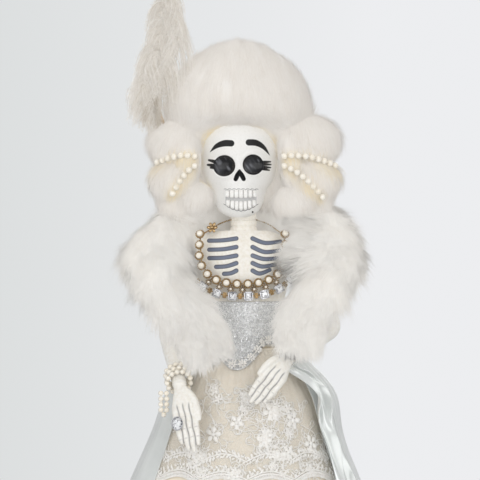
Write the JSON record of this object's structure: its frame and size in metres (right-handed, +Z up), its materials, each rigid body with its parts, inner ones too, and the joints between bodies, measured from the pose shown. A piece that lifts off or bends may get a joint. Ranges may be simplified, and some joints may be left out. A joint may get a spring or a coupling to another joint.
{
  "type": "dressed skeleton figure",
  "caption": "Papier-mache skeleton lady with a tall wig, plume, fur stole, beaded jewellery and an open satin gown over lace, standing free on a hidden round board.",
  "frame": {"origin": "middle of the gown's foot on the table", "axes": "+Z up, the figure looks along -Y, its left hand is towards +X"},
  "size_m": [0.3376, 0.2809, 0.6197],
  "materials": {
    "wood": "sanded",
    "steel": "drawn",
    "paper_core": "rough",
    "champagne_satin": "satin",
    "lace": "corded",
    "grey_satin": "satin",
    "silver_cloth": "sequined",
    "painted_paper": "satin paint",
    "silver": "polished",
    "crystal": "faceted",
    "pearl": "pearly",
    "fur": "long pile",
    "cotton": "combed",
    "quill": "horn",
    "feather": "downy",
    "gold": "polished"
  },
  "bodies": {
    "figure": {"base_board": "wood", "base_screw": "steel", "central_dowel": "wood", "skirt_form": "paper_core", "petticoat": "champagne_satin", "lace_tier": "lace", "overskirt": "grey_satin", "sash": "grey_satin", "torso": "painted_paper", "neck": "painted_paper", "skull": "painted_paper", "upper_teeth": "painted_paper", "lower_teeth": "painted_paper", "right_arm": "painted_paper", "left_arm": "painted_paper", "right_arm_wire": "steel", "left_arm_wire": "steel", "right_hand": "painted_paper", "left_hand": "painted_paper", "ring_setting": "silver", "ring_stone": "crystal", "fur_stole": "fur", "bodice": "silver_cloth", "waist_lace": "lace", "wig_pouf": "cotton", "wig_back": "cotton", "right_curls": "cotton", "left_curls": "cotton", "right_pearls_upper": "pearl", "right_pearls_lower": "pearl", "left_pearls_upper": "pearl", "left_pearls_lower": "pearl"},
    "necklace": {"necklace_wires": "gold", "necklace_cups": "gold", "necklace_pearls": "pearl", "necklace_seeds": "pearl", "necklace_settings": "silver", "necklace_stones": "crystal", "necklace_spacers": "gold", "necklace_flower": "gold", "necklace_clasp": "gold", "necklace_links": "gold"},
    "bracelet": {"bracelet_upper": "pearl", "bracelet_middle": "pearl", "bracelet_lower": "pearl", "bracelet_loop": "pearl"},
    "plume": {"plume_quill": "quill", "plume_vane": "feather"}
  },
  "joints": [
    {"name": "necklace_swing", "type": "hinge", "parent": "figure", "child": "necklace", "pos_m": [-0.002, 0.017, 0.415], "axis": [-1, 0, 0], "range_deg": [0, 9]},
    {"name": "bracelet_turn", "type": "hinge", "parent": "figure", "child": "bracelet", "pos_m": [-0.055, -0.05, 0.276], "axis": [-0.1683, 0.7573, 0.6311], "range_deg": [0, 30]},
    {"name": "plume_pull", "type": "slide", "parent": "figure", "child": "plume", "axis": [-0.2863, -0.1684, 0.9432], "range_m": [0, 0.05]}
  ]
}
